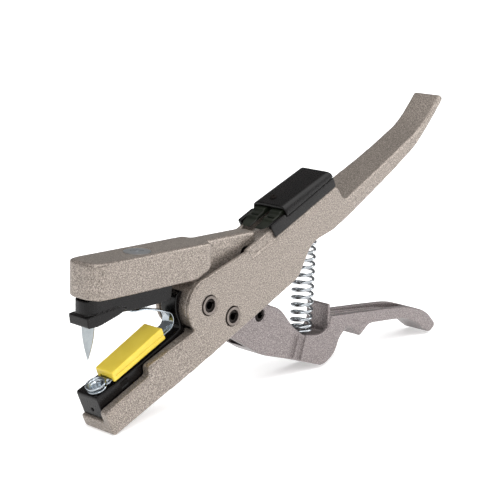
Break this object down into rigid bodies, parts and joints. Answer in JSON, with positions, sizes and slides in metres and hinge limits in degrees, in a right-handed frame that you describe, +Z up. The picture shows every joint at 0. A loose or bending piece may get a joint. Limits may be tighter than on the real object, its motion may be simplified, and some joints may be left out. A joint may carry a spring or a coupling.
{
  "type": "ear tag applicator pliers",
  "caption": "Hand pliers that press a two-piece ear tag together: needle in the upper jaw, sprung clip on the lower jaw, linked lever handle with a return spring.",
  "frame": {"origin": "middle of the whole tool in plan, on the plane that the lower jaw tip and the lever heel stand on", "axes": "+X from the jaws to the handles, +Y across the tool, +Z up; the tool stands on its lower jaw tip and lever heel with the upper jaw level"},
  "size_m": [0.2638, 0.0234, 0.1381],
  "materials": {
    "cast_body": "satin, fine metallic sparkle",
    "cast_lever": "satin, fine metallic sparkle",
    "black_plastic": "moulded, semi-gloss",
    "fork_plastic": "moulded, satin",
    "yellow_plastic": "moulded, satin",
    "bright_steel": "bright zinc plated"
  },
  "bodies": {
    "body": {"body_casting": "cast_body", "lower_jaw_insert": "black_plastic", "anvil_cup": "bright_steel", "jaw_pivot_pin": "bright_steel", "lever_pivot_pin": "bright_steel", "jaw_pivot_bush_near": "bright_steel", "jaw_pivot_bush_far": "bright_steel", "lever_pivot_bush_near": "bright_steel", "lever_pivot_bush_far": "bright_steel", "spring_peg": "bright_steel", "return_spring": "bright_steel"},
    "upper_jaw": {"upper_jaw_casting": "cast_body", "upper_jaw_insert": "black_plastic", "needle": "bright_steel", "needle_grub_screw": "bright_steel", "insert_screw": "bright_steel", "upper_link_pin": "bright_steel"},
    "lever": {"lever_casting": "cast_lever", "lower_link_pin": "bright_steel", "link_spacer_near": "bright_steel", "link_spacer_far": "bright_steel"},
    "link": {"toggle_link": "bright_steel"},
    "clip": {"leaf_clip": "bright_steel", "yellow_pad": "yellow_plastic"},
    "slide": {"slide_housing": "black_plastic", "slide_cover": "black_plastic", "slide_fork": "fork_plastic", "cover_rivet": "bright_steel"}
  },
  "joints": [
    {"name": "lever_pivot", "type": "hinge", "parent": "body", "child": "lever", "pos_m": [-0.04374, 0, 0.04241], "axis": [0, -1, 0], "range_deg": [0, 25], "stiffness_Nm_per_rad": 4, "springref_deg": -8.59, "deforming": ["return_spring"]},
    {"name": "jaw_pivot", "type": "hinge", "parent": "body", "child": "upper_jaw", "pos_m": [-0.06024, 0, 0.05071], "axis": [0, -1, 0], "range_deg": [0, 16.1], "deforming": ["leaf_clip"]},
    {"name": "link_pivot", "type": "hinge", "parent": "lever", "child": "link", "pos_m": [-0.02074, 0, 0.03811], "axis": [0, -1, 0], "range_deg": [-13.7, 0]},
    {"name": "clip_flex", "type": "hinge", "parent": "body", "child": "clip", "pos_m": [-0.12055, 0, 0.02098], "axis": [0, -1, 0], "range_deg": [0, 2.5], "stiffness_Nm_per_rad": 2, "springref_deg": -2.86},
    {"name": "slide_travel", "type": "slide", "parent": "body", "child": "slide", "axis": [-0.9121, 0, -0.4099], "range_m": [0, 0.0025]}
  ],
  "couplings": [
    {"joint": "jaw_pivot", "follows": "lever_pivot", "ratio": 0.6395},
    {"joint": "link_pivot", "follows": "lever_pivot", "ratio": -0.5403}
  ]
}
